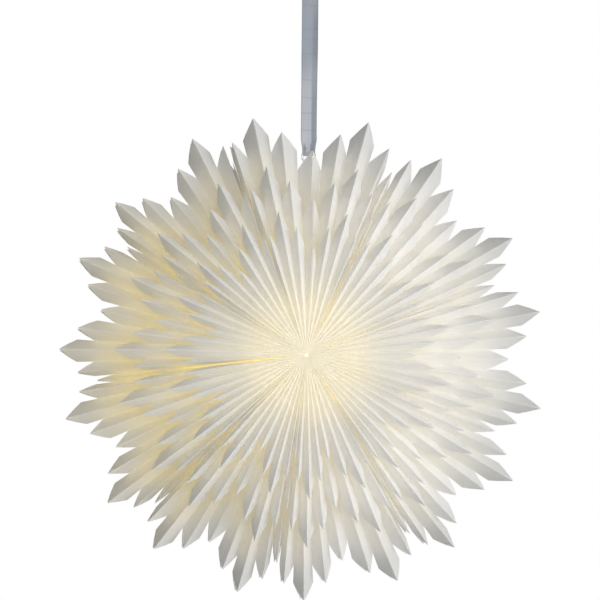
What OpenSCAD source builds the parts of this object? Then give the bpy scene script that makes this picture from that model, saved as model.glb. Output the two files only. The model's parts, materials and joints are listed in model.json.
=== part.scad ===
// Paper star lantern, hung on a satin ribbon. Millimetres, +Z up, the front faces -Y.
// The origin is where the hook enters the ceiling. The star opens like a fan about the
// front-to-back line through its centre, and its two end leaves meet at the top.

/* [Star] */
// Radius to the tall tips at the rim
star_r = 300; // [270:1:330]
// Height of the ceiling above the middle of the star
drop = 505; // [490:1:700]
// How far the ribbon hangs to the right of the middle of the star
ribbon_side = 5.8; // [5:0.2:6.4]
// Direction of the meeting line, from +X towards +Z
seam_angle = 88; // [87:0.5:89]
// Opening of each book of leaves, counted from the meeting line over the left side
book_open = [42.5, 37.3, 38.7, 37.3, 37.7, 37.1, 41.4, 42.1]; // [36:0.1:44]
// Angle between the two middle tips of each book
book_pinch = [4.4, 5.5, 4.5, 5, 5.5, 4.8, 7, 7.6, 6.6]; // [4.4:0.1:9]
// Place of a book's first and last whole spear, as a share of its opening
first_share = 0.145; // [0.12:0.005:0.17]

/* [Spears] */
// How much shorter a middle spear is than a tall one
mid_drop = 21.5; // [15:0.5:24]
// How much shorter a low spear is than a tall one
low_drop = 45; // [38:0.5:48]
// Radial length of the slanted cut at each tip
cut_len = 22; // [15:0.5:24]
// Step in radius from the rim row to the second row
row2_step = 66; // [60:1:72]
// Step in radius from the second row to the front row
row3_step = 59; // [52:1:62]
// Depth of the rim ridges in front of the middle plane, at the tall tips
rim_ridge = 25; // [18:0.5:32]
// Depth of the second row's ridges at the tall tips
row2_ridge = 73; // [66:1:82]
// Depth of the front row's ridges at the tall tips
row3_ridge = 110; // [100:1:120]
// Depth of the second row's valleys at their shoulders
row2_valley = 48; // [42:1:54]
// Depth of the front row's valleys at their shoulders
row3_valley = 86; // [80:1:92]
// Depth of the point where the pleats meet in the middle
eye_depth = 70; // [66:1:78]
// Radius of the pinhole that the pleats leave in the middle
eye_r = 6; // [6:0.5:9]

/* [Paper] */
// Thickness of a leaf at its outer end
paper_t = 0.25; // [0.15:0.05:0.4]
// Gap that the glue line keeps between two leaves at their outer ends
glue_gap = 0.3; // [0.2:0.05:0.5]
// Thickness of a leaf where the pleats crowd together in the middle
inner_paper_t = 0.05; // [0.03:0.01:0.05]
// Glue gap where the pleats crowd together in the middle
inner_gap = 0.05; // [0.03:0.01:0.05]
// Gap between the two end leaves at the meeting line
seam_gap = 2.6; // [2.4:0.1:3]

/* [Hollow] */
// Radius of the hollow for the lamp in the middle plane
core_r = 75; // [72:1:85]
// Radius of the hollow where its side meets the end cap
core_end_r = 60; // [50:1:66]

/* [Closing pads] */
// Length of a pad along the leaf's crease
pad_len = 46; // [30:1:50]
// Width of a pad
pad_w = 4; // [3:0.5:5]
// Thickness of one pad
pad_t = 1.05; // [0.7:0.05:1.05]
// Gap between two closed pads
pad_gap = 0.3; // [0.2:0.05:0.4]
// Radius where the pads start
pad_start = 88; // [87:1:96]

/* [Ribbon] */
// Width of the ribbon
ribbon_w = 20.5; // [16:0.5:21]
// Width of the ribbon's lower loop, where it is gathered to go into the star
ribbon_low_w = 12; // [10:0.5:13]
// Length over which the ribbon narrows to its lower loop
gather_len = 32; // [20:1:50]
// Thickness of the ribbon
ribbon_t = 0.6; // [0.4:0.1:0.8]
// Length of the turned-back end that is sewn down at each loop
ribbon_tail = 12; // [8:1:20]
// Gap between the ribbon and the wire that it runs round
ribbon_gap = 0.3; // [0.2:0.05:0.5]

/* [Hook and ring] */
// Diameter of the hook's screw shank
hook_shank_d = 4; // [3:0.5:5]
// Length of the screw shank above the ceiling face
hook_shank_len = 14; // [10:1:25]
// Diameter of the hook's collar
hook_collar_d = 13; // [10:1:18]
// Thickness of the hook's collar
hook_collar_t = 1.6; // [1:0.2:3]
// Diameter of the hook's wire
hook_wire_d = 3.2; // [2.5:0.1:3.4]
// Radius of the hook's bend, to the middle of the wire
hook_bend_r = 8; // [7.5:0.5:10]
// Length of the hook's neck below the collar
hook_neck = 8; // [5:1:12]
// Diameter of the hanging ring's wire
ring_wire_d = 2.4; // [2.2:0.1:2.4]
// Diameter of the ring's wire at its two corners
ring_bend_d = 3; // [3:0.05:3.2]
// Inner width of the hanging ring, along the ribbon's width
ring_w = 22; // [21.5:0.5:24]
// Straight length of the hanging ring's sides
ring_side = 6; // [4:1:12]
// Gap between the hanging ring and the hook
ring_gap = 0.25; // [0.2:0.05:0.4]

/* [Carrier] */
// Diameter of the carrier's wire
carrier_d = 2.4; // [2.2:0.1:2.4]
// Diameter of the carrier where it is bent or soldered
carrier_bend_d = 3; // [3:0.05:3.1]
// How far the carrier's bar lies below the low tips
carrier_sink = 3; // [1:0.5:9]
// Height of the carrier's head below its bar
carrier_head = 18; // [14:1:24]
// Straight length of the sides of the carrier's head
carrier_side = 5; // [4.5:0.5:7]
// Gap between the sides of the carrier's head and the edges of the ribbon
carrier_play = 0.6; // [0.5:0.1:0.8]
// Radius above the hollow where the carrier bends out of the top spear
pocket_clear = 2; // [1.8:0.1:3]
// Radius of the disc that the leaves rest on
disc_r = 20; // [16:0.5:21]
// Thickness of the disc
disc_t = 2; // [1.2:0.2:2.6]
// Gap between the disc and the leaves above it
disc_gap = 0.5; // [0.5:0.05:0.8]
// Distance of the carrier from the lamp's axis where it passes the disc
disc_wire_x = 7; // [7:0.1:7.4]
// Diameter of the sleeve that is crimped on below the disc
sleeve_d = 5; // [4:0.2:5.2]
// Length of the sleeve
sleeve_len = 4.5; // [3:0.5:5]
// Diameter of the disc's hole for the flex
disc_hole_d = 7; // [6:0.5:8]

/* [Lamp holder] */
// Outer radius of the holder's skirt
skirt_r = 14; // [13:0.25:15]
// Wall of the holder's skirt and cap
holder_wall = 1.8; // [1.4:0.1:2.2]
// Gap between the flex inlet and the disc above it
lamp_gap = 5; // [4:0.2:6]
// Length of the skirt
skirt_len = 31; // [30:0.5:33]
// Depth of the face that the carrier's loop is clamped to, below the skirt's top
clamp_depth = 11.6; // [11:0.2:13]
// Radius of the skirt's flange and of the clamping ring
flange_r = 19.5; // [18.5:0.5:22]
// Thickness of the flange
flange_t = 2; // [1.5:0.25:2.5]
// Height of the clamping ring
nut_h = 8; // [6:0.5:10]
// Running gap of the clamping ring's thread
nut_gap = 0.5; // [0.5:0.05:0.7]
// Gap between the clamping ring and the carrier's loop
clamp_gap = 0.1; // [0.1:0.05:0.2]
// Height of the domed cap
cap_h = 16; // [15:0.5:16]
// Radius of the flex inlet
inlet_r = 3.5; // [3:0.1:4]
// Outer radius of the flex inlet
inlet_outer_r = 5; // [4.6:0.1:5.2]
// Height of the flex inlet above the cap
inlet_h = 4; // [3:0.5:4.5]

/* [Socket] */
// Inner radius of the brass screw shell
shell_r = 7.2; // [7:0.05:7.5]
// Wall of the screw shell
shell_wall = 0.5; // [0.4:0.05:0.7]
// Length of the screw shell
shell_len = 21; // [18:0.5:22]
// Radius of the ceramic insert
insert_r = 12.8; // [12.5:0.1:13]
// Gap between the insert and the skirt's wall
insert_gap = 0.1; // [0.05:0.05:0.2]
// Height of the ceramic insert's block above the shell
insert_h = 6; // [4:0.5:7]

/* [Bulb] */
// Radius of the bulb's globe
globe_r = 22.5; // [20:0.5:24]
// Distance from the rim of the bulb's cap to the globe's middle
globe_drop = 29; // [27:0.5:33]
// Wall of the glass
glass_t = 0.9; // [0.6:0.1:1.2]
// Radius of the glass neck
neck_r = 10.5; // [9:0.25:11]
// Radius of the bulb's screw cap
bulb_cap_r = 6.9; // [6.6:0.05:6.95]
// Length of the bulb's screw cap
bulb_cap_len = 19; // [17:0.5:20]
// Radius of the bulb's foot contact
contact_r = 2.6; // [2:0.1:3.5]
// Height of the bulb's foot contact
contact_h = 2.4; // [1.5:0.1:2.6]
// Radius of the glass stem
stem_r = 2.6; // [2:0.1:3.5]
// Number of light filaments
filament_count = 4; // [2:1:6]
// Diameter of a filament
filament_d = 1.6; // [1:0.1:2]
// Length of a filament
filament_len = 24; // [16:1:26]

/* [Hidden] */
$fn = 64;

star_at = [-ribbon_side, 0, -drop];

// Kinds of spear: tall, middle and low, by how much shorter each is cut
TALL = 0;
MID = mid_drop;
LOW = low_drop;

book_count = len(book_pinch);
half_turn = 180;
full_turn = 360;

function sum_to(list, n) = n <= 0 ? 0 : list[n - 1] + sum_to(list, n - 1);
function opening(k) = k < book_count - 1 ? book_open[k]
    : full_turn - sum_to(book_open, book_count - 1);
function book_start(k) = seam_angle + sum_to(book_open, k);

// Shares of a book's opening at which its spears stand, from the low spear that it shares
// with the book before to the low spear that it shares with the book after
function shares(k) =
    let (half_pinch = book_pinch[k] / opening(k) / 2,
         inner_a = 0.5 - half_pinch,
         inner_b = 0.5 + half_pinch,
         last = 1 - first_share)
    [0, first_share, (first_share + inner_a) / 2, inner_a, 0.5, inner_b,
     (inner_b + last) / 2, last, 1];
KINDS = [LOW, MID, TALL, MID, LOW, MID, TALL, MID, LOW];

// Depth in front of the middle plane of fold line n at radius r. Even lines are valleys,
// where a spear is glued to its neighbours, and odd lines are ridges.
function through(depth0, depth1, r1, r) = depth0 + (depth1 - depth0) * r / r1;
row2_r = star_r - row2_step;
row3_r = row2_r - row3_step;
function line_depth(n, r) =
    n == 0 ? 0
    : n == 1 ? through(0, rim_ridge, star_r, r)
    : n == 2 ? through(eye_depth, row2_valley, row2_r - cut_len, r)
    : n == 3 ? through(eye_depth, row2_ridge, row2_r, r)
    : n == 4 ? through(eye_depth, row3_valley, row3_r - cut_len, r)
    : through(eye_depth, row3_ridge, row3_r, r);

// Corners of half a leaf as [fold line, radius], from the middle plane to the front
function half_corners(short) = [
    [0, core_r],
    [0, star_r - short - cut_len],
    [1, star_r - short],
    [1, row2_r - short - 2 * cut_len],
    [1, core_r],
    [2, core_end_r],
    [2, row2_r - short - cut_len],
    [2, eye_r],
    [3, row2_r - short],
    [3, row3_r - short - 2 * cut_len],
    [3, eye_r],
    [4, row3_r - short - cut_len],
    [4, eye_r],
    [5, row3_r - short],
    [5, eye_r]];
half_count = 15;
shared_count = 2;
leaf_corners = 2 * half_count - shared_count;

// Triangles of half a leaf, on the corners above
HALF_FACES = [[0, 1, 3], [1, 2, 3], [0, 3, 4], [4, 3, 6], [4, 6, 5], [7, 5, 10], [5, 9, 10],
    [5, 6, 9], [6, 8, 9], [10, 9, 11], [10, 11, 12], [12, 11, 13], [12, 13, 14]];
HALF_OUTER = [1, 2, 3, 6, 8, 9, 11, 13];
HALF_INNER = [14, 12, 10, 7, 5, 4];

// Index of a corner's partner in the back half of the leaf
function at_back(i) = i < shared_count ? i : i + half_count - shared_count;
function reversed(list) = [for (i = [len(list) - 1:-1:0]) list[i]];

// Share of the way from the crowded middle to the rim, which sets paper and glue thickness
function outward(r) = (r - eye_r) / (star_r - eye_r);
function paper_at(r) = inner_paper_t + (paper_t - inner_paper_t) * outward(r);

// Point at radius r, on direction a, moved sideways by e, at depth y
function polar(r, a, e, y) = [r * cos(a) - e * sin(a), y, r * sin(a) + e * cos(a)];

// One leaf between a ridge direction and a valley direction. extra widens its ridge gap,
// but not at the eye, where the pleats crowd together.
module leaf(ridge_a, valley_a, short, extra = 0) {
    side = valley_a > ridge_a ? 1 : -1;
    corners = half_corners(short);
    function gap_at(r, odd) = (inner_gap + (glue_gap - inner_gap) * outward(r)) / 2
        + (odd && r > eye_r ? extra / 2 : 0);
    // Sideways place of a corner's lower face: ridges lean one way and valleys the other
    function low_face(c) =
        let (odd = c[0] % 2 == 1, way = odd ? side : -side, g = gap_at(c[1], odd))
        way > 0 ? g : -g - paper_at(c[1]);
    function place(c, front, upper) =
        polar(c[1], c[0] % 2 == 1 ? ridge_a : valley_a,
              low_face(c) + (upper ? paper_at(c[1]) : 0),
              (front ? -1 : 1) * line_depth(c[0], c[1]));
    function sheet(upper) = concat(
        [for (c = corners) place(c, true, upper)],
        [for (i = [shared_count:half_count - 1]) place(corners[i], false, upper)]);
    upper_faces = concat(HALF_FACES,
        [for (f = HALF_FACES) reversed([for (i = f) at_back(i)])]);
    lower_faces = [for (f = upper_faces) [for (i = reversed(f)) i + leaf_corners]];
    rim = concat([for (i = reversed(HALF_OUTER)) at_back(i)],
        [for (i = [1:len(HALF_OUTER) - 1]) HALF_OUTER[i]],
        HALF_INNER, [0], [for (i = reversed(HALF_INNER)) at_back(i)]);
    n = len(rim);
    walls = [for (i = [0:n - 1]) let (p = rim[i], q = rim[(i + 1) % n])
        each [[q, p, p + leaf_corners], [q, p + leaf_corners, q + leaf_corners]]];
    polyhedron(points = concat(sheet(true), sheet(false)),
               faces = concat(upper_faces, lower_faces, walls));
}

module in_star() translate(star_at) children();

// Both leaves of a spear, or one of them: from sets which side is drawn
module spear_leaf(k, i, side, extra = 0) {
    s = shares(k);
    ridge = book_start(k) + s[i] * opening(k);
    valley = book_start(k) + (s[i] + s[i + side]) / 2 * opening(k);
    leaf(ridge, valley, KINDS[i], extra);
}

// A book of leaves: half of a low spear, seven whole spears and half of a low spear
module book(k) {
    last = len(KINDS) - 1;
    color("ivory") in_star() {
        if (k > 0) spear_leaf(k, 0, 1);
        for (i = [1:last - 1]) {
            spear_leaf(k, i, -1);
            spear_leaf(k, i, 1);
        }
        if (k < book_count - 1) spear_leaf(k, last, -1);
    }
}

// The first and the last leaf, which meet at the top
module cover_left() color("white") in_star() spear_leaf(0, 0, 1, seam_gap - glue_gap);
module cover_right() color("white") in_star()
    spear_leaf(book_count - 1, len(KINDS) - 1, -1, seam_gap - glue_gap);

// Pads along the two rim creases of a cover, on the side given
module closing_pads(side) {
    inner = pad_gap / 2;
    slope = atan(rim_ridge / star_r);
    color("gainsboro") in_star() rotate([0, -seam_angle, 0])
        for (front = [-1, 1])
            translate([pad_start, front * line_depth(1, pad_start),
                       side > 0 ? inner : -inner - pad_t])
                rotate([0, 0, front * slope])
                    translate([0, -pad_w / 2, 0])
                        cube([pad_len, pad_w, pad_t]);
}
module closing_pads_left() closing_pads(1);
module closing_pads_right() closing_pads(-1);

// A straight length of wire
module rod(p, q, d) {
    v = q - p;
    translate(p) rotate([0, acos(v[2] / norm(v)), atan2(v[1], v[0])]) cylinder(d = d, h = norm(v));
}
module bead(p, d) translate(p) sphere(d = d);

// Wire through the points, with a rounded bend at every inner point
module wire(points, d, bend_d) {
    for (i = [0:len(points) - 2]) rod(points[i], points[i + 1], d);
    for (i = [1:len(points) - 2]) bead(points[i], bend_d);
}

// Screw hook in the ceiling. Its bend lies in the front-to-back plane.
hook_circle_z = -hook_collar_t - hook_neck - hook_bend_r;
hook_low_z = hook_circle_z - hook_bend_r;
hook_open_angle = 80;
module ceiling_hook() color("silver") {
    cylinder(d = hook_shank_d, h = hook_shank_len);
    translate([0, 0, -hook_collar_t]) cylinder(d = hook_collar_d, h = hook_collar_t);
    translate([0, 0, hook_circle_z + hook_bend_r])
        cylinder(d = hook_wire_d, h = hook_neck + hook_collar_t / 2);
    translate([0, 0, hook_circle_z]) rotate([0, 90, 0]) rotate([0, 0, half_turn])
        rotate_extrude(angle = full_turn - hook_open_angle)
            translate([hook_bend_r, 0]) circle(d = hook_wire_d);
}

// Arched wire ring: it hangs on the hook, and the ribbon runs round its straight bar
ring_half = (ring_w + ring_wire_d) / 2;
ring_arch_z = hook_low_z + hook_wire_d / 2 + ring_gap + ring_wire_d / 2 - ring_half;
ring_bar_z = ring_arch_z - ring_side;
module hanging_ring() color("silver") {
    translate([0, 0, ring_arch_z]) rotate([90, 0, 0])
        rotate_extrude(angle = half_turn) translate([ring_half, 0]) circle(d = ring_wire_d);
    wire([[-ring_half, 0, ring_arch_z], [-ring_half, 0, ring_bar_z],
          [ring_half, 0, ring_bar_z], [ring_half, 0, ring_arch_z]], ring_wire_d, ring_bend_d);
}

// Satin ribbon: one strip with a sewn loop at each end. Its lower loop holds the carrier.
carrier_top = star_r - low_drop - carrier_sink;
carrier_bar_z = carrier_top - drop;
carrier_half = (ribbon_low_w + carrier_d) / 2 + carrier_play;
module ribbon_loop(z, way, wire_d) {
    inner = wire_d / 2 + ribbon_gap;
    outer = inner + ribbon_t;
    translate([0, z]) difference() {
        circle(r = outer);
        circle(r = inner);
    }
    translate([-ribbon_t, way > 0 ? z + inner : z - inner - ribbon_tail])
        square([2 * ribbon_t, ribbon_tail]);
}
module ribbon() {
    top_end = ring_bar_z - ring_wire_d / 2 - ribbon_gap;
    low_end = carrier_bar_z + carrier_d / 2 + ribbon_gap;
    wide = ribbon_w / 2;
    narrow = ribbon_low_w / 2;
    tail_end = low_end + ribbon_tail;
    color("lightsteelblue") {
        translate([-wide, 0, 0]) rotate([90, 0, 90]) linear_extrude(ribbon_w)
            ribbon_loop(ring_bar_z, -1, ring_wire_d);
        translate([-narrow, 0, 0]) rotate([90, 0, 90]) linear_extrude(ribbon_low_w)
            ribbon_loop(carrier_bar_z, 1, carrier_d);
        translate([0, ribbon_t / 2, 0]) rotate([90, 0, 0]) linear_extrude(ribbon_t)
            polygon([[-wide, top_end], [-wide, tail_end + gather_len], [-narrow, tail_end],
                     [-narrow, low_end], [narrow, low_end], [narrow, tail_end],
                     [wide, tail_end + gather_len], [wide, top_end]]);
    }
}

// Radius of the hollow at depth y in front of or behind the middle plane
rim_depth = line_depth(1, core_r);
end_depth = line_depth(2, core_end_r);
function hollow_r(y) = core_r - (core_r - core_end_r) * (y - rim_depth) / (end_depth - rim_depth);
disc_top = min(hollow_r(disc_r), sqrt(pow(core_r, 2) - pow(disc_r, 2))) - disc_gap;
disc_low = disc_top - disc_t;

// Heights in the lamp, which hangs below the disc
cap_top = disc_low - lamp_gap - inlet_h;
skirt_top = cap_top - cap_h;
skirt_low = skirt_top - skirt_len;
clamp_z = skirt_top - clamp_depth;

// Bent wire that carries the star: a head for the ribbon, a shank down the top spear,
// a bend past the disc and a loop that is clamped on the lamp holder
loop_r = skirt_r + nut_gap + carrier_d / 2;
loop_z = clamp_z - carrier_d / 2;
bend_r = carrier_bend_d / 2;
bend_clear = 0.1;
shoulder_drop = 1;
solder_rise = 0.4;
module carrier_wire() color("silver") {
    tip = [0, 0, carrier_top - carrier_head];
    low_z = carrier_top - carrier_side;
    // Height of the wire's middle while it passes under the leaves' inner edges
    under_z = disc_top + bend_r + bend_clear;
    pocket_r = core_r + pocket_clear;
    knee_z = disc_low - sleeve_len - bend_r - bend_clear;
    solder = [loop_r, 0, loop_z + solder_rise];
    translate([0, 0, -drop]) {
        wire([tip, [carrier_half, 0, low_z], [carrier_half, 0, carrier_top],
              [-carrier_half, 0, carrier_top], [-carrier_half, 0, low_z], tip],
             carrier_d, carrier_bend_d);
        bead(tip, carrier_bend_d);
    }
    in_star() {
        wire([tip + [ribbon_side, 0, 0], [pocket_r * cos(seam_angle), 0, pocket_r],
              [disc_wire_x, 0, under_z], [disc_wire_x, 0, knee_z],
              [loop_r, 0, cap_top - shoulder_drop], solder],
             carrier_d, carrier_bend_d);
        bead(solder, carrier_bend_d);
        translate([0, 0, loop_z]) rotate_extrude()
            translate([loop_r, 0]) circle(d = carrier_d);
    }
}

// Disc inside the hollow: the inner edges of the leaves rest on it
hole_play = 0.2;
module support_disc() color("white") in_star() translate([0, 0, disc_low])
    difference() {
        cylinder(r = disc_r, h = disc_t);
        translate([0, 0, -1]) cylinder(d = disc_hole_d, h = disc_t + 2);
        translate([disc_wire_x, 0, -1]) cylinder(d = carrier_d + 2 * hole_play, h = disc_t + 2);
    }

module crimp_sleeve() color("silver") in_star()
    translate([disc_wire_x, 0, disc_low - sleeve_len]) difference() {
        cylinder(d = sleeve_d, h = sleeve_len);
        translate([0, 0, -1]) cylinder(d = carrier_d + hole_play / 5, h = sleeve_len + 2);
    }

// Lamp holder, mouth down
module holder_skirt() color("whitesmoke") in_star() difference() {
    union() {
        translate([0, 0, skirt_low]) cylinder(r = skirt_r, h = skirt_top - skirt_low);
        translate([0, 0, clamp_z]) cylinder(r = flange_r, h = flange_t);
    }
    translate([0, 0, skirt_low - 1])
        cylinder(r = skirt_r - holder_wall, h = skirt_top - skirt_low + 2);
    translate([0, 0, insert_z]) cylinder(r = insert_r + insert_gap, h = insert_h + 1);
    translate([loop_r, 0, clamp_z - 1]) cylinder(d = carrier_bend_d + hole_play, h = flange_t + 2);
}

cap_round = 5;
module holder_cap() color("whitesmoke") in_star() translate([0, 0, skirt_top])
    rotate_extrude() difference() {
        union() {
            square([skirt_r, cap_h - cap_round]);
            square([skirt_r - cap_round, cap_h]);
            translate([skirt_r - cap_round, cap_h - cap_round]) circle(r = cap_round);
            square([inlet_outer_r, cap_h + inlet_h]);
        }
        translate([0, -cap_h]) square([skirt_r - holder_wall, 2 * cap_h - cap_round]);
        square([inlet_r, cap_h + inlet_h + 1]);
        translate([-skirt_r, -cap_h]) square([skirt_r, 3 * cap_h]);
    }

module clamping_ring() color("white") in_star()
    translate([0, 0, loop_z - carrier_d / 2 - clamp_gap - nut_h]) difference() {
        cylinder(r = flange_r, h = nut_h);
        translate([0, 0, -1]) cylinder(r = skirt_r + nut_gap, h = nut_h + 2);
    }

// Ceramic insert with the screw shell and the centre contact
insert_z = skirt_top - insert_h;
shell_top = insert_z;
module ceramic_insert() color("ghostwhite") in_star() translate([0, 0, insert_z])
    cylinder(r = insert_r, h = insert_h);
module screw_shell() color("gold") in_star() translate([0, 0, shell_top - shell_len])
    difference() {
        cylinder(r = shell_r + shell_wall, h = shell_len);
        translate([0, 0, -1]) cylinder(r = shell_r, h = shell_len + 2);
    }
contact_room = 1.6;
contact_gap = 0.2;
bulb_top = shell_top - contact_room;
module centre_contact() color("gold") in_star() translate([0, 0, bulb_top + contact_gap])
    cylinder(r = contact_r, h = contact_room - contact_gap);

// Bulb: it screws up into the shell
cap_low = bulb_top - contact_h - bulb_cap_len;
neck_z = cap_low;
globe_z = cap_low - globe_drop;
module bulb_cap() color("silver") in_star() translate([0, 0, cap_low])
    cylinder(r = bulb_cap_r, h = bulb_cap_len);
module bulb_contact() color("dimgray") in_star() translate([0, 0, bulb_top - contact_h])
    cylinder(r = contact_r, h = contact_h);

// Half outline of the globe and its neck, made smaller all round by t
module globe_half(t) {
    join = sqrt(pow(globe_r, 2) - pow(neck_r, 2));
    intersection() {
        union() {
            translate([0, globe_z]) circle(r = globe_r - t);
            translate([0, globe_z + join - t]) square([neck_r - t, neck_z - globe_z - join]);
        }
        translate([0, globe_z - globe_r]) square([2 * globe_r, 4 * globe_r]);
    }
}
module bulb_glass() color("white", 0.6) in_star() rotate_extrude() difference() {
    globe_half(0);
    globe_half(glass_t);
}
stem_low = globe_z - filament_len / 3;
module bulb_stem() color("lightblue") in_star() translate([0, 0, stem_low])
    cylinder(r = stem_r, h = neck_z - glass_t - stem_low);
module bulb_filaments() color("khaki") in_star()
    for (i = [0:filament_count - 1])
        rotate([0, 0, i * full_turn / filament_count])
            translate([stem_r + filament_d / 2 + 0.3, 0, globe_z - filament_len / 2])
                cylinder(d = filament_d, h = filament_len);

ceiling_hook();
hanging_ring();
ribbon();
carrier_wire();
support_disc();
crimp_sleeve();
cover_left();
cover_right();
closing_pads_left();
closing_pads_right();
book(0);  // book_1
book(1);  // book_2
book(2);  // book_3
book(3);  // book_4
book(4);  // book_5
book(5);  // book_6
book(6);  // book_7
book(7);  // book_8
book(8);  // book_9
holder_cap();
holder_skirt();
clamping_ring();
ceramic_insert();
screw_shell();
centre_contact();
bulb_cap();
bulb_contact();
bulb_glass();
bulb_stem();
bulb_filaments();
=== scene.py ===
import json
import math
import random

import bpy
import numpy as np
from mathutils import Matrix, Vector


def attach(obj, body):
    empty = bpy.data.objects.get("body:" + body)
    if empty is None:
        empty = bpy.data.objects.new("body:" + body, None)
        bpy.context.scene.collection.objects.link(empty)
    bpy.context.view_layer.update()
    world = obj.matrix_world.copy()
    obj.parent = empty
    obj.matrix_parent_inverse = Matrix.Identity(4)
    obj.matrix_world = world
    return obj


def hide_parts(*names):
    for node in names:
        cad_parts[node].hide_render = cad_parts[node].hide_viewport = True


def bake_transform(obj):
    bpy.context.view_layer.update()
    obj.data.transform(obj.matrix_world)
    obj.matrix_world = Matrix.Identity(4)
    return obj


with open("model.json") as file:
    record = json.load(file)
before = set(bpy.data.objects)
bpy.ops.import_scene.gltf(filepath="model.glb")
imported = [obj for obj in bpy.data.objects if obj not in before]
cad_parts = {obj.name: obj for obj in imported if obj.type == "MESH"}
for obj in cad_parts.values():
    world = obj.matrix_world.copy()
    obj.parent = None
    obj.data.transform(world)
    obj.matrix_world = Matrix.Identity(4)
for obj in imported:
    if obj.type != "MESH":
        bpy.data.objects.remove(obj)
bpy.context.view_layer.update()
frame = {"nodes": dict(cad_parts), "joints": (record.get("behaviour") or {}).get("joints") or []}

# Camera. The star is seen from a little to the left and from a little below, through a
# long lens, so that its middle stands below the middle of the frame. The camera is tilted
# a touch, as the ribbon in the photograph leans.
star = Vector(next(j["pos_m"] for j in frame["joints"] if j["name"] == "fold_1"))
yaw, pitch, roll = math.radians(4.5), math.radians(3.5), math.radians(0.6)
distance, above_middle = 3.2, Vector((-0.0031, 0, 0.0707))
view_from = Vector((-math.sin(yaw) * math.cos(pitch), -math.cos(yaw) * math.cos(pitch),
                    -math.sin(pitch)))
bpy.ops.object.camera_add(location=star + above_middle + view_from * distance)
camera = bpy.context.object
turn = (-view_from).to_track_quat("-Z", "Y").to_matrix() @ Matrix.Rotation(roll, 3, "Z")
camera.rotation_euler = turn.to_euler()
camera.data.lens = 154.84
camera.data.clip_end = 50
bpy.context.scene.camera = camera


# Screw hook, hanging ring, carrier wire and its sleeve. Steel wire, bent and spot welded,
# with a bright zinc coat. The hook is screwed into the ceiling and the ring hangs on it.
def srgb(hex_colour):
    parts = [int(hex_colour[i:i + 2], 16) / 255 for i in (1, 3, 5)]
    return [c / 12.92 if c < 0.04045 else ((c + 0.055) / 1.055) ** 2.4 for c in parts] + [1]


def add_node(material, kind, place, inputs=None, **settings):
    tree = material.node_tree
    new = tree.nodes.new(kind)
    new.location = place
    for name, value in settings.items():
        setattr(new, name, value)
    for name, value in (inputs or {}).items():
        if isinstance(value, bpy.types.NodeSocket):
            tree.links.new(value, new.inputs[name])
        else:
            new.inputs[name].default_value = value
    return new


def new_material(name):
    material = bpy.data.materials.new(name)
    material.use_nodes = True
    material.node_tree.nodes.clear()
    return material


def finish_nodes(material, *nodes):
    for name in nodes:
        slots = frame["nodes"][name].data.materials
        slots.clear()
        slots.append(material)


# Zinc-plated steel: bright grey, with a slightly uneven gloss from the passivation
zinc = new_material("zinc_plated_steel")
place = add_node(zinc, "ShaderNodeTexCoord", (-1000, 0))
mottle = add_node(zinc, "ShaderNodeTexNoise", (-800, 100),
                  {"Vector": place.outputs["Object"], "Scale": 260, "Detail": 3})
grain = add_node(zinc, "ShaderNodeTexNoise", (-800, -200),
                 {"Vector": place.outputs["Object"], "Scale": 1800, "Detail": 2})
tone = add_node(zinc, "ShaderNodeMix", (-500, 200), {
    "Factor": mottle.outputs["Fac"], "A": srgb("#B4B8BC"), "B": srgb("#D2D3D0")},
    data_type="RGBA")
gloss = add_node(zinc, "ShaderNodeMapRange", (-500, -50), {
    "Value": mottle.outputs["Fac"], "From Min": 0.3, "From Max": 0.7, "To Min": 0.24,
    "To Max": 0.42})
pits = add_node(zinc, "ShaderNodeBump", (-500, -300), {
    "Height": grain.outputs["Fac"], "Strength": 0.15, "Distance": 0.0001})
steel = add_node(zinc, "ShaderNodeBsdfPrincipled", (-200, 100), {
    "Base Color": tone.outputs["Result"], "Metallic": 1.0,
    "Roughness": gloss.outputs["Result"], "Normal": pits.outputs["Normal"]})
add_node(zinc, "ShaderNodeOutputMaterial", (100, 100), {"Surface": steel.outputs["BSDF"]})
finish_nodes(zinc, "ceiling_hook", "hanging_ring", "carrier_wire", "crimp_sleeve")


# Ribbon. One strip of double-faced polyester satin, 20.5 mm wide, heat cut. It is looped
# round the ring's bar and round the carrier's bar and sewn down behind. One third of its
# width has curled forwards, and it is gathered where it goes into the star.
ribbon_w, ribbon_t = 0.0205, 0.00034
ring_bar, low_bar = -0.04075, -0.253
loop_r, tail, behind_strip = 0.0018, 0.012, 0.00045


def round_bar(bar, way, first, last):
    """The loop round a bar as (depth, height), over the bar for way 1 and under it for -1."""
    return [(loop_r * math.sin(a), bar + way * loop_r * math.cos(a))
            for a in np.radians(np.linspace(first, last, 14))]


# The strip's way from the sewn end behind the ring to the sewn end behind the carrier's bar
strip_top, strip_foot = ring_bar - loop_r - 0.003, low_bar + loop_r + 0.003
path = [(behind_strip, ring_bar - loop_r - tail), (behind_strip, ring_bar - loop_r - 0.004)]
path += round_bar(ring_bar, 1, 135, -150)
path += [(0.0, z) for z in np.linspace(strip_top, strip_foot, 70)]
path += round_bar(low_bar, -1, -150, 135)
path += [(behind_strip, low_bar + loop_r + 0.004), (behind_strip, low_bar + loop_r + tail)]
path = np.array(path)
along = np.concatenate([[0], np.cumsum(np.hypot(*np.diff(path, axis=0).T))])
ribbon_len = float(along[-1])


def ease(a, b, x):
    """0 up to a, 1 from b on, and a smooth way between them."""
    t = min(1.0, max(0.0, (x - a) / (b - a)))
    return t * t * (3 - 2 * t)


def near_end(a, b, s):
    """The same, with a and b measured back from the ribbon's lower end."""
    return ease(ribbon_len - a, ribbon_len - b, s)


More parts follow.
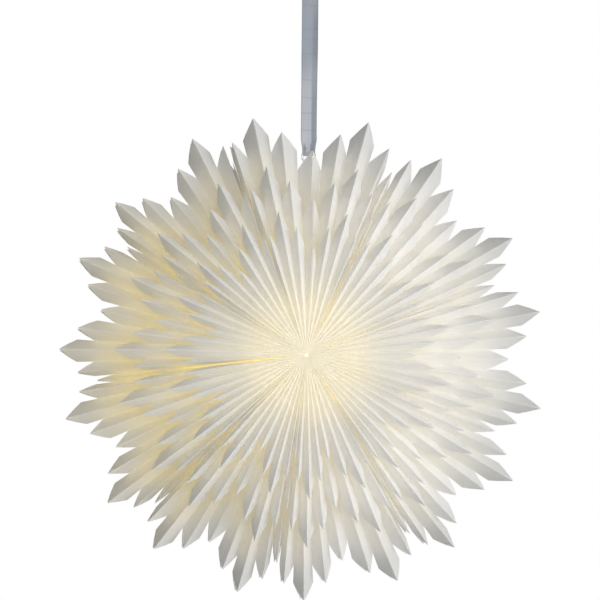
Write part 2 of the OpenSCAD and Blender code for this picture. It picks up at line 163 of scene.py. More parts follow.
# Where the curl starts, beside the middle; how far the lower part turns to the right, as a
# slope; the share of the width that the gathers take, and how deep they fold
curl_line, turned, gathered, pleat = 0.0031, 0.36, 0.415, 0.0022
bpy.ops.object.select_all(action="DESELECT")
bpy.ops.mesh.primitive_grid_add(x_subdivisions=24, y_subdivisions=160, size=1)
ribbon = bpy.context.object
ribbon.name = "satin_ribbon"
edge_of = ribbon.data.uv_layers.active.data
flat = [Vector((v.co.x + 0.5, v.co.y + 0.5)) for v in ribbon.data.vertices]
for loop in ribbon.data.loops:
    spot = flat[loop.vertex_index]
    edge_of[loop.index].uv = (spot.x * ribbon_w, spot.y * ribbon_len)
for vertex, spot in zip(ribbon.data.vertices, flat):
    s = spot.y * ribbon_len
    u = (spot.x - 0.5) * ribbon_w
    y, z = (float(np.interp(s, along, path[:, c])) for c in (0, 1))
    hanging_free = ease(0.02, 0.07, s) * (1 - near_end(0.048, 0.026, s))
    curl = math.radians(9 + 15 * ease(0.11, 0.18, s)) * hanging_free
    gather = 0.55 * near_end(0.042, 0.024, s) + 0.45 * near_end(0.0205, 0.017, s)
    x = u
    if u > curl_line:
        x = curl_line + (u - curl_line) * math.cos(curl)
        y -= (u - curl_line) * math.sin(curl)
    y += turned * u * hanging_free * ease(0.1, 0.145, s)
    y += hanging_free * 0.0007 * math.sin(u * 260 + s * 9)
    y += hanging_free * 0.0009 * math.sin(s * 17 + 0.6)
    squeeze = 1 - gathered * gather
    wave = math.sqrt(max(0.0, 1 / squeeze ** 2 - 1)) * pleat
    wave *= 1 - 0.8 * near_end(0.028, 0.0205, s)
    y += wave * math.sin(u / ribbon_w * 3 * math.pi) * (1 - 0.5 * abs(2 * u / ribbon_w) ** 4)
    vertex.co = (x * squeeze, y, z)
wall = ribbon.modifiers.new("cloth thickness", "SOLIDIFY")
wall.thickness, wall.offset = ribbon_t, 0
bpy.ops.object.modifier_apply(modifier=wall.name)
bpy.ops.object.shade_smooth_by_angle(angle=math.radians(50))

# Satin: long polyester floats run along the ribbon, real spacing 0.1 mm, drawn 0.4 mm wide
# so that they show; they give a soft stretched gloss and a firm selvedge at both edges.
# Faint marks cross it, about 22 mm apart, where it was wound on a card. Below, beside the
# curl, a paler colour is painted on its flat part as a painted sheen
satin = new_material("polyester_satin")
cut = add_node(satin, "ShaderNodeUVMap", (-1400, 0), uv_map="UVMap")
where = add_node(satin, "ShaderNodeSeparateXYZ", (-1200, 200), {
    "Vector": cut.outputs["UV"]})
stretch = add_node(satin, "ShaderNodeMapping", (-1200, -100), {
    "Vector": cut.outputs["UV"], "Scale": (2500, 90, 1)})
floats = add_node(satin, "ShaderNodeTexNoise", (-1000, -100), {
    "Vector": stretch.outputs["Vector"], "Scale": 1, "Detail": 2, "Roughness": 0.6})
slack = add_node(satin, "ShaderNodeMapping", (-1200, -400), {
    "Vector": cut.outputs["UV"], "Scale": (160, 14, 1)})
drape = add_node(satin, "ShaderNodeTexNoise", (-1000, -400), {
    "Vector": slack.outputs["Vector"], "Scale": 1, "Detail": 1})
off_middle = add_node(satin, "ShaderNodeMath", (-1000, 300), {
    0: where.outputs["X"], 1: -ribbon_w / 2}, operation="ADD")
to_edge = add_node(satin, "ShaderNodeMath", (-850, 300), {0: off_middle.outputs[0]},
                   operation="ABSOLUTE")
selvedge = add_node(satin, "ShaderNodeMapRange", (-700, 300), {
    "Value": to_edge.outputs[0], "From Min": 0.0091, "From Max": 0.0096, "To Min": 0,
    "To Max": 1})
dyed = add_node(satin, "ShaderNodeMix", (-600, 0), {
    "Factor": floats.outputs["Fac"], "A": srgb("#767F8D"), "B": srgb("#A1A9B3")},
    data_type="RGBA")
shade = add_node(satin, "ShaderNodeMix", (-420, 100), {
    "Factor": drape.outputs["Fac"], "A": srgb("#90969F"), "B": dyed.outputs["Result"]},
    data_type="RGBA")
wound = add_node(satin, "ShaderNodeTexVoronoi", (-1000, 550), {
    "W": where.outputs["Y"], "Scale": 45}, voronoi_dimensions="1D",
    feature="DISTANCE_TO_EDGE")
marks = add_node(satin, "ShaderNodeMapRange", (-700, 550), {
    "Value": wound.outputs["Distance"], "From Min": 0.012, "From Max": 0.04, "To Min": 0.5,
    "To Max": 0})
darker = add_node(satin, "ShaderNodeMath", (-500, 400), {
    0: selvedge.outputs["Result"], 1: marks.outputs["Result"]}, operation="MAXIMUM")
# Painted sheen: the flat part of the lower ribbon is mixed towards a paler colour
low = add_node(satin, "ShaderNodeMapRange", (-700, 750), {
    "Value": where.outputs["Y"], "From Min": 0.1, "From Max": 0.155, "To Min": 0,
    "To Max": 0.9}, interpolation_type="SMOOTHSTEP")
flat_side = add_node(satin, "ShaderNodeMapRange", (-700, 950), {
    "Value": where.outputs["X"], "From Min": 0.0122, "From Max": 0.0142, "To Min": 1,
    "To Max": 0})
painted_sheen_mask = add_node(satin, "ShaderNodeMath", (-500, 850), {
    0: low.outputs["Result"], 1: flat_side.outputs["Result"]}, operation="MULTIPLY")
with_painted_sheen = add_node(satin, "ShaderNodeMix", (-400, 600), {
    "Factor": painted_sheen_mask.outputs[0], "A": shade.outputs["Result"], "B": srgb("#ACAFB5")},
    data_type="RGBA")
edged = add_node(satin, "ShaderNodeMix", (-240, 200), {
    "Factor": darker.outputs[0], "A": with_painted_sheen.outputs["Result"], "B": srgb("#7F8690")},
    data_type="RGBA")
raised = add_node(satin, "ShaderNodeMath", (-600, -250), {
    0: floats.outputs["Fac"], 1: selvedge.outputs["Result"]}, operation="ADD")
ribs = add_node(satin, "ShaderNodeBump", (-420, -250), {
    "Height": raised.outputs[0], "Strength": 0.35, "Distance": 0.0001})
lie = add_node(satin, "ShaderNodeTangent", (-420, -450), direction_type="UV_MAP",
               uv_map="UVMap")
cloth = add_node(satin, "ShaderNodeBsdfPrincipled", (0, 100), {
    "Base Color": edged.outputs["Result"], "Roughness": 0.42, "Anisotropic": 0.6,
    "Sheen Weight": 0.25, "Sheen Roughness": 0.4, "Normal": ribs.outputs["Normal"],
    "Tangent": lie.outputs["Tangent"]})
add_node(satin, "ShaderNodeOutputMaterial", (300, 100), {"Surface": cloth.outputs["BSDF"]})
ribbon.data.materials.append(satin)
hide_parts("ribbon")
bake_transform(ribbon)


# Paper leaves. Die-cut sheets of white paper, creased into a zigzag from the front to the
# back. Two leaves are glued ridge to ridge into each pointed spear, and spears are glued to
# their neighbours along the valleys, so that the star opens like a fan.

# A leaf is cut between its ridges' direction and half_angle. Radii of the star, the hollow,
# the hollow's flat end and the eye in the middle of the front; leaf_t is the paper's thickness
half_angle = math.radians(2.5)
star_r, leaf_t, core_r, core_end, eye = 0.300, 0.00025, 0.075, 0.060, 0.0014
# Rows of the grid where a fold line changes its course, and how far a strip bellies out
knots, belly = [0, 4, 9, 13, 17], 0.0004


def fold_radii(line, short):
    """Radii at the knots of fold line 0 (middle plane) to 5 (front edge)."""
    return {
        0: [core_r, core_r, 0.131 - short, 0.190 - short, 0.278 - short],
        1: [core_r, core_r, 0.131 - short, 0.190 - short, star_r - short],
        2: [eye, core_end, 0.142 - short, 0.212 - short, 0.222 - short],
        3: [eye, core_end, 0.131 - short, 0.234 - short, 0.244 - short],
        4: [eye, core_end, 0.153 - short, 0.163 - short, 0.173 - short],
        5: [eye, core_end, 0.175 - short, 0.185 - short, 0.195 - short]}[line]


def fold_depth(line, r):
    """Depth of a fold line in front of the middle plane, at radius r."""
    return {0: 0, 1: 0.025 * r / star_r, 2: 0.070 - 0.022 * r / 0.212,
            3: 0.070 + 0.003 * r / 0.234, 4: 0.070 + 0.016 * r / 0.153,
            5: 0.070 + 0.040 * r / 0.175}[line]


def fold_point(line, row, short):
    """A corner of the leaf. The lines from -5 to -1 are those of the back, odd lines are
    ridges and even ones valleys, and both stand half a sheet and the glue off their line."""
    n = abs(line)
    r = float(np.interp(row, knots, fold_radii(n, short)))
    a = 0 if n % 2 else half_angle
    off = (0.5 * leaf_t + 0.00004) * min(1.0, r / core_end) * (1 if n % 2 else -1)
    return Vector((r * math.cos(a) - off * math.sin(a),
                   (-1 if line > 0 else 1) * fold_depth(n, r),
                   r * math.sin(a) + off * math.cos(a)))


def cut_leaf(name, short):
    """A leaf with its ridges along +X and its valleys half an angle above them."""
    bpy.ops.object.select_all(action="DESELECT")
    bpy.ops.mesh.primitive_grid_add(x_subdivisions=20, y_subdivisions=17, size=1)
    leaf = bpy.context.object
    leaf.name = name
    mesh = leaf.data
    spots = [(v.co.x * 10, round((v.co.y + 0.5) * 17)) for v in mesh.vertices]
    thick = leaf.vertex_groups.new(name="thickness")
    for vertex, (line, row) in zip(mesh.vertices, spots):
        low, high = math.floor(line + 1e-4), math.ceil(line - 1e-4)
        p, q = fold_point(low, row, short), fold_point(high, row, short)
        middle = (p + q) / 2
        if low != high:
            # A crease keeps a little of its bend, so each strip is slightly hollow
            middle += Vector((0, 0, belly)) * min(1.0, middle.x / core_end)
        vertex.co = middle
        thick.add([vertex.index], min(1.0, math.hypot(middle.x, middle.z) / core_end), "REPLACE")
    # First and last row of each strip between two folds, and the radius of its row's tip
    ends = {0: (4, 17), 1: (4, 13), 2: (0, 13), 3: (0, 9), 4: (0, 9)}
    tips = {0: star_r, 1: 0.234, 2: 0.234, 3: 0.175, 4: 0.175}
    for face in mesh.polygons:
        strip = min(4, int(abs(sum(spots[i][0] for i in face.vertices) / 4)))
        for index in face.loop_indices:
            vertex = mesh.loops[index].vertex_index
            in_from_tip = tips[strip] - short - mesh.vertices[vertex].co.x
            mesh.uv_layers.active.data[index].uv = ((spots[vertex][0] + 5) / 10, in_from_tip)
    bpy.ops.object.mode_set(mode="EDIT")
    bpy.ops.mesh.select_mode(type="FACE")
    bpy.ops.mesh.select_all(action="DESELECT")
    bpy.ops.object.mode_set(mode="OBJECT")
    for face in mesh.polygons:
        lines = [spots[i][0] for i in face.vertices]
        rows = [spots[i][1] for i in face.vertices]
        first, last = ends[min(4, int(abs(sum(lines) / 4)))]
        face.select = not (first <= min(rows) and max(rows) <= last)
    bpy.ops.object.mode_set(mode="EDIT")
    bpy.ops.mesh.delete(type="FACE")
    bpy.ops.mesh.select_all(action="SELECT")
    bpy.ops.mesh.delete_loose()
    bpy.ops.object.mode_set(mode="OBJECT")
    sheet = leaf.modifiers.new("paper thickness", "SOLIDIFY")
    sheet.thickness, sheet.offset = leaf_t, 0
    sheet.vertex_group, sheet.thickness_vertex_group = thick.name, 0.15
    bpy.ops.object.modifier_apply(modifier=sheet.name)
    bpy.ops.object.shade_smooth_by_angle(angle=math.radians(22))
    leaf.vertex_groups.clear()
    return leaf


# Paper: uncoated white, about 160 g a square metre, matt, with fine fibres. Nearly half of
# the light goes through it, more where the sheet is thinner and a little less along creases
paper = new_material("uncoated_white_paper")
place = add_node(paper, "ShaderNodeTexCoord", (-1400, 0))
cut = add_node(paper, "ShaderNodeUVMap", (-1400, 400), uv_map="UVMap")
on_leaf = add_node(paper, "ShaderNodeSeparateXYZ", (-1200, 400), {
    "Vector": cut.outputs["UV"]})
from_fold = add_node(paper, "ShaderNodeMath", (-1050, 400), {
    0: on_leaf.outputs["X"], 1: 0.1}, operation="PINGPONG")
crease = add_node(paper, "ShaderNodeMapRange", (-900, 400), {
    "Value": from_fold.outputs[0], "From Min": 0.004, "From Max": 0.014, "To Min": 1,
    "To Max": 0}, interpolation_type="SMOOTHSTEP")
clouds = add_node(paper, "ShaderNodeTexNoise", (-1200, 100), {
    "Vector": place.outputs["Object"], "Scale": 160, "Detail": 3, "Roughness": 0.55})
fibres = add_node(paper, "ShaderNodeTexNoise", (-1200, -200), {
    "Vector": place.outputs["Object"], "Scale": 900, "Detail": 4, "Roughness": 0.7})
white = add_node(paper, "ShaderNodeMix", (-900, 100), {
    "Factor": clouds.outputs["Fac"], "A": srgb("#F0F0F0"), "B": srgb("#F8F8F8")},
    data_type="RGBA")
creased = add_node(paper, "ShaderNodeMix", (-700, 200), {
    "Factor": crease.outputs["Result"], "A": white.outputs["Result"], "B": srgb("#F4F4F4")},
    data_type="RGBA")
thinness = add_node(paper, "ShaderNodeMapRange", (-900, -100), {
    "Value": clouds.outputs["Fac"], "From Min": 0.3, "From Max": 0.7, "To Min": 0.43,
    "To Max": 0.51})
lets_through = add_node(paper, "ShaderNodeMath", (-700, -50), {
    0: crease.outputs["Result"], 1: -0.02, 2: thinness.outputs["Result"]},
    operation="MULTIPLY_ADD")
tooth = add_node(paper, "ShaderNodeBump", (-700, -250), {
    "Height": fibres.outputs["Fac"], "Strength": 0.25, "Distance": 0.0002})
sheet = add_node(paper, "ShaderNodeBsdfPrincipled", (-450, 200), {
    "Base Color": creased.outputs["Result"], "Roughness": 0.9, "Specular IOR Level": 0.3,
    "Normal": tooth.outputs["Normal"]})
through = add_node(paper, "ShaderNodeBsdfTranslucent", (-450, -250), {
    "Color": srgb("#FCFCFA"), "Normal": tooth.outputs["Normal"]})
both = add_node(paper, "ShaderNodeMixShader", (-200, 100), {
    0: lets_through.outputs[0], 1: sheet.outputs["BSDF"], 2: through.outputs["BSDF"]})
# Painted glow: an emission painted on the paper that stands in for lamplight soaked through
# the leaves. It is strongest deep between the rows and in the middle, gone 20 mm before each
# tip, and weaker on the right, as the bulb hangs nearer to the left. Each strip between two
# folds has its own share of the painted glow, from the rim row to the front
deep = add_node(paper, "ShaderNodeMapRange", (-900, -500), {
    "Value": on_leaf.outputs["Y"], "From Min": 0.02, "From Max": 0.07, "To Min": 0.03,
    "To Max": 1}, interpolation_type="SMOOTHSTEP")
back_to_front = add_node(paper, "ShaderNodeMapRange", (-1200, 600), {
    "Value": on_leaf.outputs["X"], "To Min": -1, "To Max": 1})
from_middle = add_node(paper, "ShaderNodeMath", (-1050, 600), {
    0: back_to_front.outputs["Result"]}, operation="ABSOLUTE")
strip = add_node(paper, "ShaderNodeValToRGB", (-900, 650), {"Fac": from_middle.outputs[0]})
strip.color_ramp.interpolation = "CONSTANT"
for spot, share in ((0.2, 1.0), (0.4, 0.52), (0.6, 0.64), (0.8, 0.2)):
    strip.color_ramp.elements.new(spot).color = (share, share, share, 1)
strip.color_ramp.elements[0].color = (0.72, 0.72, 0.72, 1)
in_fold = add_node(paper, "ShaderNodeMath", (-700, -450), {
    0: deep.outputs["Result"], 1: strip.outputs["Color"]}, operation="MULTIPLY")
bright = add_node(paper, "ShaderNodeMath", (-550, -450), {0: in_fold.outputs[0], 1: 2.6},
                  operation="MULTIPLY")
where = add_node(paper, "ShaderNodeSeparateXYZ", (-1200, -700), {
    "Vector": place.outputs["Object"]})
leftward = add_node(paper, "ShaderNodeMapRange", (-900, -750), {
    "Value": where.outputs["X"], "From Min": -0.2, "From Max": 0.06, "To Min": 1.1,
    "To Max": 0.32})
from_axis = add_node(paper, "ShaderNodeVectorMath", (-1050, -1250), {
    0: place.outputs["Object"], 1: (1, 0, 1)}, operation="MULTIPLY")
radius = add_node(paper, "ShaderNodeVectorMath", (-900, -1250), {
    0: from_axis.outputs[0], 1: (star.x, 0, star.z)}, operation="DISTANCE")
fade = add_node(paper, "ShaderNodeMapRange", (-700, -1250), {
    "Value": radius.outputs["Value"], "From Min": 0.11, "From Max": 0.2, "To Min": 1,
    "To Max": 0.5})
core = add_node(paper, "ShaderNodeMapRange", (-700, -1500), {
    "Value": radius.outputs["Value"], "From Min": 0.05, "From Max": 0.12, "To Min": 1,
    "To Max": 0}, interpolation_type="SMOOTHSTEP")
far_left = add_node(paper, "ShaderNodeMapRange", (-900, -1000), {
    "Value": where.outputs["X"], "From Min": -0.27, "From Max": -0.1, "To Min": 0.5,
    "To Max": 0}, interpolation_type="SMOOTHSTEP")
sideways = add_node(paper, "ShaderNodeMath", (-500, -900), {
    0: leftward.outputs["Result"], 1: fade.outputs["Result"]}, operation="MULTIPLY")
painted_glow_spread = add_node(paper, "ShaderNodeMath", (-350, -750), {
    0: bright.outputs[0], 1: sideways.outputs[0],
    2: far_left.outputs["Result"]}, operation="MULTIPLY_ADD")
strongest = add_node(paper, "ShaderNodeMath", (-200, -900), {
    0: painted_glow_spread.outputs[0], 1: core.outputs["Result"]}, operation="MAXIMUM")
cloudy = add_node(paper, "ShaderNodeMapRange", (-700, -850), {
    "Value": clouds.outputs["Fac"], "To Min": 0.04, "To Max": 0.06})
painted_glow_strength = add_node(paper, "ShaderNodeMath", (-500, -650), {
    0: strongest.outputs[0], 1: cloudy.outputs["Result"]}, operation="MULTIPLY")
# The painted lamp glow: an emission on the paper, not a lamp
painted_lamp_glow = add_node(paper, "ShaderNodeEmission", (-300, -500), {
    "Color": srgb("#FFE06C"), "Strength": painted_glow_strength.outputs[0]})
with_painted_glow = add_node(paper, "ShaderNodeAddShader", (0, 0), {
    0: both.outputs["Shader"], 1: painted_lamp_glow.outputs["Emission"]})
# Painted glow: a pale emission on the paper that stands in for light the folds pass to each
# other, paler and stronger on the right, gone at the rim
inside = add_node(paper, "ShaderNodeMapRange", (-700, -1750), {
    "Value": radius.outputs["Value"], "From Min": 0.18, "From Max": 0.3, "To Min": 1,
    "To Max": 0}, interpolation_type="SMOOTHSTEP")
rightward = add_node(paper, "ShaderNodeMapRange", (-700, -2000), {
    "Value": where.outputs["X"], "From Min": -0.149, "From Max": 0.149, "To Min": 0.024,
    "To Max": 0.06}, interpolation_type="SMOOTHSTEP")
painted_pale_glow_strength = add_node(paper, "ShaderNodeMath", (-450, -1850), {
    0: inside.outputs["Result"], 1: rightward.outputs["Result"]}, operation="MULTIPLY")
painted_pale_glow = add_node(paper, "ShaderNodeEmission", (-200, -1500), {
    "Color": srgb("#FFF9EE"), "Strength": painted_pale_glow_strength.outputs[0]})
with_painted_glows = add_node(paper, "ShaderNodeAddShader", (200, 0), {
    0: with_painted_glow.outputs["Shader"], 1: painted_pale_glow.outputs["Emission"]})
add_node(paper, "ShaderNodeOutputMaterial", (400, 100), {"Surface": with_painted_glows.outputs["Shader"]})
paper.cycles.emission_sampling = "NONE"

# Three leaves are cut: for a tall point, and 21.5 mm and 45 mm shorter
tall, shorter, shortest = 0, 0.0215, 0.045
masters = {short: cut_leaf(f"cut_{short * 1000:.0f}", short)
           for short in (tall, shorter, shortest)}
for master in masters.values():
    master.data.materials.append(paper)


def glued_shut(r, depth):
    return 0.0


def closed_by_pads(r, depth):
    """Half the gap between the end leaves: the pads' thickness as far as 136 mm, then less."""
    at_rim = 0.00115 - 0.00085 * np.clip((r - 0.136) / 0.02, 0, 1)
    return np.where(depth > 0.05, 0.0004, at_rim) * np.clip((r - 0.02) / 0.04, 0, 1)


def come_open(r, depth):
    """Half the slit where a glue line has let go, from the core to 200 mm."""
    return 0.00115 * np.clip((r - 0.02) / 0.04, 0, 1) * np.clip((0.2 - r) / 0.05, 0, 1)


def place_leaf(short, ridge, valley, lean, reach, half_gap):
    """A copy of a cut leaf, opened between its ridge's and its valley's direction. lean
    turns the ridge aside, reach makes it longer, and half_gap gives how far it stands off
    its partner. Where the glue line has come open, its painted lamp glow goes 25 mm further out."""
    leaf = masters[short].copy()
    leaf.data = masters[short].data.copy()
    bpy.context.collection.objects.link(leaf)
    mesh = leaf.data
    spots = np.empty(len(mesh.vertices) * 3, np.float32)
    mesh.vertices.foreach_get("co", spots)
    spots = spots.reshape(-1, 3).astype(float)
    r = np.hypot(spots[:, 0], spots[:, 2])
    to_valley = np.arctan2(spots[:, 2], spots[:, 0]) / half_angle
    at_ridge = np.clip(1 - to_valley, 0, 1)
    far = np.clip((r - core_end) / (star_r - core_end), 0, 1)
    way = 1 if valley > ridge else -1
    angle = np.radians(ridge + to_valley * (valley - ridge) + lean * at_ridge * far)
    aside = way * half_gap(r, np.abs(spots[:, 1])) * at_ridge
    # Painted glow: the UVs move so that the paper's painted lamp glow reaches 25 mm further out
    if half_gap is come_open:
        uv = mesh.uv_layers.active.data
        for loop in mesh.loops:
            uv[loop.index].uv.y += 0.025
    r = r * (1 + reach * at_ridge * far)
    spots[:, 0] = star.x + r * np.cos(angle) - aside * np.sin(angle)
    spots[:, 2] = star.z + r * np.sin(angle) + aside * np.cos(angle)
    mesh.vertices.foreach_set("co", spots.astype(np.float32).ravel())
    if way < 0:
        mesh.flip_normals()
    mesh.update()
    return leaf


# The nine books of leaves, from the meeting line at the top over the left side. Each book
# is seven spears and half of a low spear at each end, glued to the next book's half. The
# books were opened and glued by hand, so each has its own angle and its own spacing.
openings = [42.5, 37.3, 38.7, 37.3, 37.7, 37.1, 41.4, 42.1]
openings.append(360 - sum(openings))
# Degrees between the spears on both sides of a book's low middle spear, the middle spear's
# place as a share of the opening, and the first and the last whole spear's places
pinches = [2.4, 5.5, 4.5, 5, 5.5, 4.8, 8.2, 7.6, 6.6]
middles = [0.53, 0.5, 0.5, 0.5, 0.51, 0.548, 0.5, 0.5, 0.5]
firsts = [0.185, 0.16, 0.145, 0.145, 0.165, 0.165, 0.145, 0.145, 0.145]
last = 0.855
kinds = [shortest, shorter, tall, shorter, shortest, shorter, tall, shorter, shortest]
# Books, from 0, whose middle spear's glue line has let go
let_go = (2, 5, 7, 8)
dice = random.Random(11)
seam = 88.0
for k, (opening, pinch, mid, first) in enumerate(zip(openings, pinches, middles, firsts)):
    before, after = mid - pinch / opening / 2, mid + pinch / opening / 2
    shares = [0, first, (first + before) / 2, before, mid, after, (after + last) / 2, last, 1]
    for i, (share, short) in enumerate(zip(shares, kinds)):
        lean, reach = dice.uniform(-0.35, 0.35), dice.uniform(-0.006, 0.004)
        sides = [way for way in (-1, 1) if 0 <= i + way <= 8]
        ridge = seam + share * opening
        cover = (k == 0 and i == 0) or (k == 8 and i == 8)
        if len(sides) == 1:
            lean = reach = 0
        half_gap = (closed_by_pads if cover else come_open if i == 4 and k in let_go
                    else glued_shut)
        leaves = [place_leaf(short, ridge, seam + (share + shares[i + way]) / 2 * opening,
                             lean, reach, half_gap) for way in sides]
        bpy.ops.object.select_all(action="DESELECT")
        for leaf in leaves:
            leaf.select_set(True)
        bpy.context.view_layer.objects.active = spear = leaves[0]
        if len(leaves) == 2:
            bpy.ops.object.join()
        if cover:
            spear.name = "paper_cover_left" if k == 0 else "paper_cover_right"
            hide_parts("cover_left" if k == 0 else "cover_right")
            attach(spear, "star" if k == 0 else "fan_9")
            continue
        spear.name = f"paper_spear_{k + 1}_{i}"
        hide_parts(f"book_{k + 1}")
        # A spear turns by its share of the book's closing, a half spear by a little more or
        # less.
        turns = share
        if len(sides) == 1:
            turns += (shares[i + sides[0]] - share) / 4
        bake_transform(spear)
    seam += opening
for master in masters.values():
    bpy.data.objects.remove(master)


# Closing pads. Hook-and-loop tape, woven white nylon, glued on the rim creases of the two
# end leaves, which they hold together at the top.

# Nylon hooks and loops, 0.9 mm apart: a dull white pile with a soft edge to the light
nylon = new_material("hook_and_loop_nylon")
place = add_node(nylon, "ShaderNodeTexCoord", (-900, 0))
hooks = add_node(nylon, "ShaderNodeTexVoronoi", (-700, 0), {
    "Vector": place.outputs["Object"], "Scale": 1100})
lint = add_node(nylon, "ShaderNodeTexNoise", (-700, -300), {
    "Vector": place.outputs["Object"], "Scale": 2500, "Detail": 2})
pile = add_node(nylon, "ShaderNodeMix", (-450, 200), {
    "Factor": hooks.outputs["Distance"], "A": srgb("#F3F2EE"), "B": srgb("#D9D7D0")},
    data_type="RGBA")
fuzz = add_node(nylon, "ShaderNodeMath", (-500, -200), {
    0: hooks.outputs["Distance"], 1: lint.outputs["Fac"]}, operation="ADD")
loops = add_node(nylon, "ShaderNodeBump", (-300, -200), {
    "Height": fuzz.outputs[0], "Strength": 0.7, "Distance": 0.0004})
tape = add_node(nylon, "ShaderNodeBsdfPrincipled", (-100, 100), {
    "Base Color": pile.outputs["Result"], "Roughness": 0.8, "Sheen Weight": 0.4,
    "Normal": loops.outputs["Normal"]})
add_node(nylon, "ShaderNodeOutputMaterial", (200, 100), {"Surface": tape.outputs["BSDF"]})
finish_nodes(nylon, "closing_pads_left", "closing_pads_right")


# Support disc, holder cap, skirt and clamping ring. Moulded white plastic. The disc rides on
# the wire, the skirt and the cap hold the lamp's insert, and the clamping ring is screwed on.

# Moulded PBT: warm white, half matt, with a faint ripple and fine spark texture of the mould
plastic = new_material("moulded_white_pbt")
place = add_node(plastic, "ShaderNodeTexCoord", (-900, 0))
flow = add_node(plastic, "ShaderNodeTexNoise", (-700, 100), {
    "Vector": place.outputs["Object"], "Scale": 90, "Detail": 2})
spark = add_node(plastic, "ShaderNodeTexNoise", (-700, -200), {
    "Vector": place.outputs["Object"], "Scale": 3000, "Detail": 2})
cream = add_node(plastic, "ShaderNodeMix", (-450, 200), {
    "Factor": flow.outputs["Fac"], "A": srgb("#ECEAE4"), "B": srgb("#F4F3EF")},
    data_type="RGBA")
satin_gloss = add_node(plastic, "ShaderNodeMapRange", (-450, 0), {
    "Value": flow.outputs["Fac"], "To Min": 0.35, "To Max": 0.5})
skin = add_node(plastic, "ShaderNodeBump", (-450, -250), {
    "Height": spark.outputs["Fac"], "Strength": 0.2, "Distance": 0.00005})
shell = add_node(plastic, "ShaderNodeBsdfPrincipled", (-150, 100), {
    "Base Color": cream.outputs["Result"], "Roughness": satin_gloss.outputs["Result"],
    "Normal": skin.outputs["Normal"]})
add_node(plastic, "ShaderNodeOutputMaterial", (150, 100), {"Surface": shell.outputs["BSDF"]})
finish_nodes(plastic, "support_disc", "holder_cap", "holder_skirt", "clamping_ring")


# Ceramic insert. It is pressed and fired in one piece, and held in the skirt by its rim. The
# screw shell and the centre contact are riveted to it.

# Steatite, part glazed: off-white, with fine specks and pinholes under a thin gloss
steatite = new_material("glazed_steatite")
place = add_node(steatite, "ShaderNodeTexCoord", (-900, 0))
specks = add_node(steatite, "ShaderNodeTexNoise", (-700, 100), {
    "Vector": place.outputs["Object"], "Scale": 700, "Detail": 4})
body = add_node(steatite, "ShaderNodeMix", (-450, 200), {
    "Factor": specks.outputs["Fac"], "A": srgb("#E6E1D6"), "B": srgb("#F6F3EB")},
    data_type="RGBA")
pinholes = add_node(steatite, "ShaderNodeBump", (-450, -100), {
    "Height": specks.outputs["Fac"], "Strength": 0.15, "Distance": 0.0002})
glaze = add_node(steatite, "ShaderNodeBsdfPrincipled", (-150, 100), {
    "Base Color": body.outputs["Result"], "Roughness": 0.3, "Coat Weight": 0.4,
    "Normal": pinholes.outputs["Normal"]})
add_node(steatite, "ShaderNodeOutputMaterial", (150, 100), {"Surface": glaze.outputs["BSDF"]})
finish_nodes(steatite, "ceramic_insert")


# Screw shell and centre contact. Brass sheet, drawn and stamped, pressed into the insert and
# riveted. The shell's thread takes the bulb's cap.

# Drawn brass: warm yellow with a little tarnish, and fine lines along the way it was drawn
brass = new_material("drawn_brass")
place = add_node(brass, "ShaderNodeTexCoord", (-900, 0))
tarnish = add_node(brass, "ShaderNodeTexNoise", (-700, 100), {
    "Vector": place.outputs["Object"], "Scale": 240, "Detail": 4})
draw = add_node(brass, "ShaderNodeMapping", (-700, -200), {
    "Vector": place.outputs["Object"], "Scale": (1, 1, 0.03)})
drawn_lines = add_node(brass, "ShaderNodeTexNoise", (-500, -200), {
    "Vector": draw.outputs["Vector"], "Scale": 3000})
warm = add_node(brass, "ShaderNodeMix", (-450, 200), {
    "Factor": tarnish.outputs["Fac"], "A": srgb("#B08D48"), "B": srgb("#DCBF78")},
    data_type="RGBA")
rub = add_node(brass, "ShaderNodeMapRange", (-450, 0), {
    "Value": tarnish.outputs["Fac"], "To Min": 0.2, "To Max": 0.45})
scratch = add_node(brass, "ShaderNodeBump", (-300, -200), {
    "Height": drawn_lines.outputs["Fac"], "Strength": 0.15, "Distance": 0.00005})
metal = add_node(brass, "ShaderNodeBsdfPrincipled", (-100, 100), {
    "Base Color": warm.outputs["Result"], "Metallic": 1.0, "Roughness": rub.outputs["Result"],
    "Normal": scratch.outputs["Normal"]})
add_node(brass, "ShaderNodeOutputMaterial", (200, 100), {"Surface": metal.outputs["BSDF"]})
finish_nodes(brass, "screw_shell", "centre_contact")


# Bulb cap and foot contact. A brass cap, rolled with a right-hand thread of 2.82 mm pitch,
# crimped on the globe's neck, with a soldered foot.

# Nickel plate: grey and clouded, with the rolled thread drawn as rounded bands
nickel = new_material("nickel_plated_brass")
place = add_node(nickel, "ShaderNodeTexCoord", (-900, 0))
dull = add_node(nickel, "ShaderNodeTexNoise", (-700, 100), {
    "Vector": place.outputs["Object"], "Scale": 300, "Detail": 3})
turns = add_node(nickel, "ShaderNodeTexWave", (-700, -200), {
    "Vector": place.outputs["Object"], "Scale": 35.4}, bands_direction="Z",
    wave_profile="SIN")
plate = add_node(nickel, "ShaderNodeMix", (-450, 200), {
    "Factor": dull.outputs["Fac"], "A": srgb("#A9A6A0"), "B": srgb("#D0CDC6")},
    data_type="RGBA")
cloud = add_node(nickel, "ShaderNodeMapRange", (-450, 0), {
    "Value": dull.outputs["Fac"], "To Min": 0.18, "To Max": 0.4})
thread = add_node(nickel, "ShaderNodeBump", (-450, -200), {
    "Height": turns.outputs["Fac"], "Strength": 0.9, "Distance": 0.0006})
metal = add_node(nickel, "ShaderNodeBsdfPrincipled", (-150, 100), {
    "Base Color": plate.outputs["Result"], "Metallic": 1.0,
    "Roughness": cloud.outputs["Result"], "Normal": thread.outputs["Normal"]})
add_node(nickel, "ShaderNodeOutputMaterial", (150, 100), {"Surface": metal.outputs["BSDF"]})
finish_nodes(nickel, "bulb_cap", "bulb_contact")


# Bulb glass. A blown globe with a white powder coat inside, 45 mm across. It is sealed on the
# stem and cemented into the cap.

